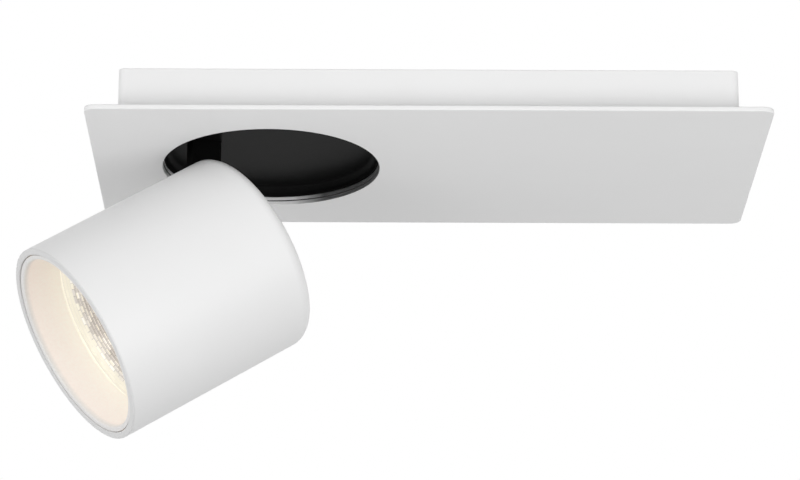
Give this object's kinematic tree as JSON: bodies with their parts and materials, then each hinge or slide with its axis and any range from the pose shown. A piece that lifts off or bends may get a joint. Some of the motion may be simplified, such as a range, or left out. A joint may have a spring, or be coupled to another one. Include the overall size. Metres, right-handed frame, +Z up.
{
  "type": "surface mounted ceiling spotlight",
  "caption": "Flat white ceiling housing with an overhanging plate and a black turning dish, from which a round white spotlight head hangs on an off-centre tilting arm.",
  "frame": {"origin": "middle of the ceiling face, on the mid-line of the bracket's two screw slots", "axes": "+Z up into the ceiling, +X along the housing away from the head's hole, -Y the front long side in the picture"},
  "size_m": [0.3325, 0.146, 0.1555],
  "materials": {
    "housing_white": "satin white powder coat on steel sheet",
    "galvanised": "galvanised sheet",
    "zinc_steel": "zinc plated",
    "spring_steel": "blued spring steel",
    "brass": "bare",
    "driver_case": "moulded",
    "terminal_case": "moulded",
    "glide_plastic": "slippery plastic",
    "black_rubber": "soft",
    "clear_rubber": "silicone",
    "dish_black": "satin black paint on steel sheet",
    "arm_black": "satin black paint on cast aluminium",
    "head_white": "satin white powder coat on cast aluminium",
    "bezel_white": "satin white paint on turned aluminium",
    "bare_aluminium": "bare casting",
    "reflector_bright": "polished, facetted",
    "emitter_yellow": "phosphor layer",
    "holder_white": "moulded",
    "lens_glass": "clear"
  },
  "bodies": {
    "housing": {"mounting_bracket": "galvanised", "cable_grommet": "black_rubber", "base_box": "housing_white", "front_plate": "housing_white", "plate_nuts": "zinc_steel", "side_screws": "zinc_steel", "led_driver": "driver_case", "driver_screws": "zinc_steel", "terminal_block": "terminal_case", "terminal_screws": "zinc_steel", "earth_stud": "brass", "earth_nut": "brass", "glide_ring": "glide_plastic", "retaining_clips": "spring_steel", "clip_screws": "zinc_steel", "stop_post": "zinc_steel"},
    "turntable": {"turntable_dish": "dish_black", "hinge_arm": "arm_black", "arm_nuts": "zinc_steel", "arm_bush": "black_rubber"},
    "head": {"head_shell": "head_white", "pivot_bolt": "zinc_steel", "pivot_nut": "zinc_steel", "friction_washers": "glide_plastic", "heat_sink": "bare_aluminium", "rear_screws": "zinc_steel", "led_board": "bare_aluminium", "led_emitter": "emitter_yellow", "led_holder": "holder_white", "led_screws": "zinc_steel", "reflector": "reflector_bright", "lens_gasket": "clear_rubber", "lens": "lens_glass", "bezel": "bezel_white", "bezel_ring": "black_rubber"}
  },
  "joints": [
    {"name": "head_pan", "type": "hinge", "parent": "housing", "child": "turntable", "pos_m": [-0.0704, 0, -0.02025], "axis": [0, 0, 1], "range_deg": [-175, 175]},
    {"name": "head_tilt", "type": "hinge", "parent": "turntable", "child": "head", "pos_m": [-0.10053, -0.00953, -0.04195], "axis": [-0.3017, 0.9534, 0], "range_deg": [-56.8, 33.2]}
  ]
}
